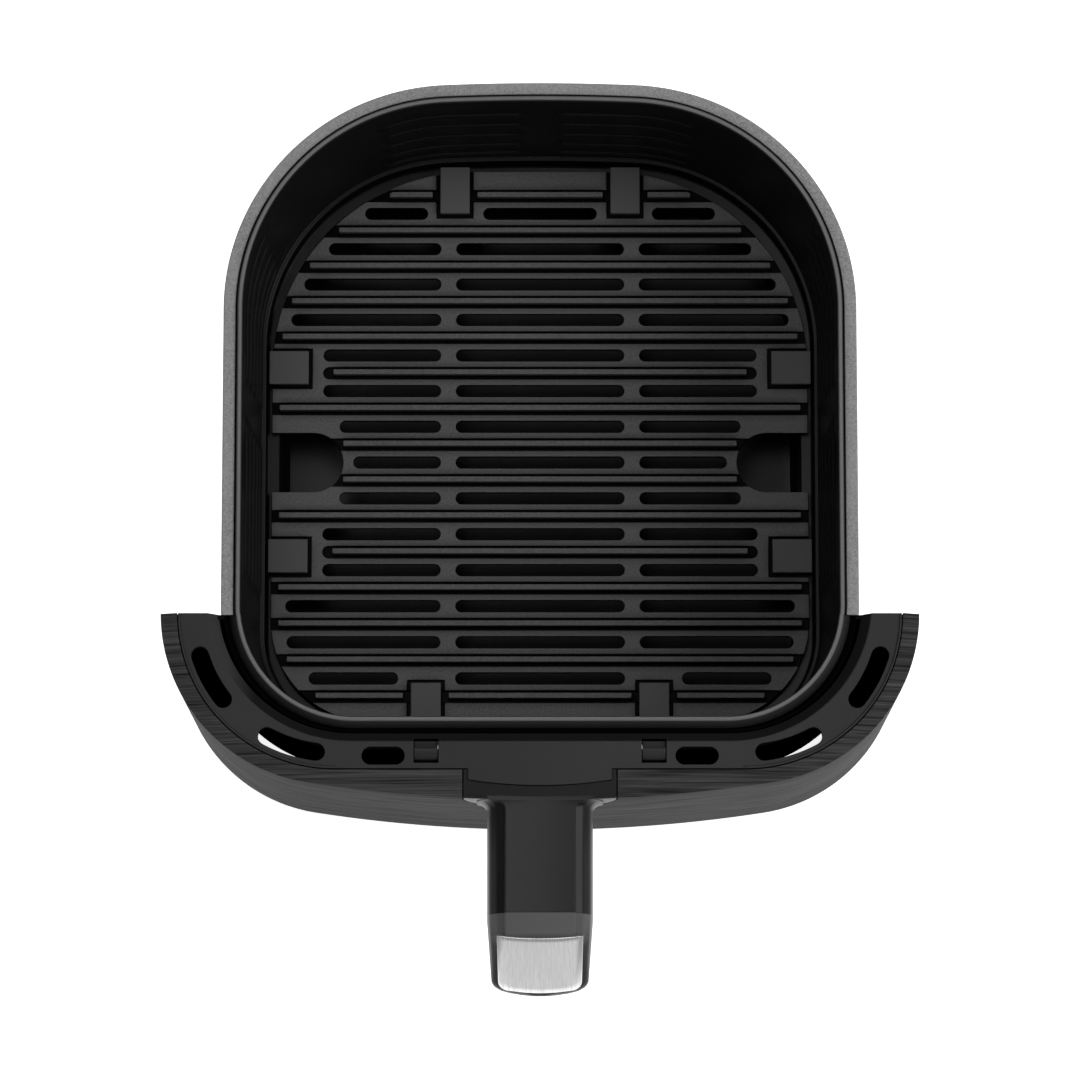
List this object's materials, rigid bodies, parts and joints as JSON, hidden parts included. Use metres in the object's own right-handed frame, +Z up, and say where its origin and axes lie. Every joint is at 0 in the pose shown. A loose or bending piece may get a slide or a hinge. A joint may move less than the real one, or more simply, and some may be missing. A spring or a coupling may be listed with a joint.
{
  "type": "air fryer drawer",
  "caption": "Air fryer drawer: coated pot in a grey shell, slotted lift-out crisper plate, brushed wrap-round front panel with vents, and a handle.",
  "frame": {"origin": "centre of the shell's flat base, on the surface it stands on", "axes": "+Z up; the handle points along -Y, so +Y is towards the back of the fryer; +X to the right seen from the handle"},
  "size_m": [0.2878, 0.3504, 0.1024],
  "materials": {
    "pot_coating": "satin non-stick coating, almost black",
    "shell_paint": "grey with a fine light speckle, low sheen",
    "plate_coating": "satin non-stick coating, dark grey",
    "bumper_silicone": "matt soft silicone, dark grey",
    "black_plastic": "fine-grained satin black",
    "brushed_black": "black, fine brushing along the panel",
    "backing_plastic": "plain black moulding",
    "bracket_steel": "plain rolled steel",
    "screw_steel": "bright zinc plating",
    "tip_steel": "bright, brushed along the handle"
  },
  "bodies": {
    "drawer": {"pot": "pot_coating", "outer_shell": "shell_paint", "collar": "black_plastic", "snap_tab_left": "black_plastic", "snap_tab_right": "black_plastic", "front_panel": "brushed_black", "panel_backing": "backing_plastic", "pot_bracket": "bracket_steel", "bracket_screws": "screw_steel", "handle": "black_plastic", "handle_core": "bracket_steel", "core_screws": "screw_steel", "handle_underside": "backing_plastic", "handle_tip": "tip_steel", "handle_screws": "screw_steel"},
    "crisper": {"crisper_plate": "plate_coating", "bumper_back_left": "bumper_silicone", "bumper_back_right": "bumper_silicone", "bumper_front_left": "bumper_silicone", "bumper_front_right": "bumper_silicone", "bumper_side_back_left": "bumper_silicone", "bumper_side_back_right": "bumper_silicone", "bumper_side_front_left": "bumper_silicone", "bumper_side_front_right": "bumper_silicone"}
  },
  "joints": [
    {"name": "plate_lift", "type": "slide", "parent": "drawer", "child": "crisper", "axis": [0, 0, 1], "range_m": [0, 0.11]}
  ]
}
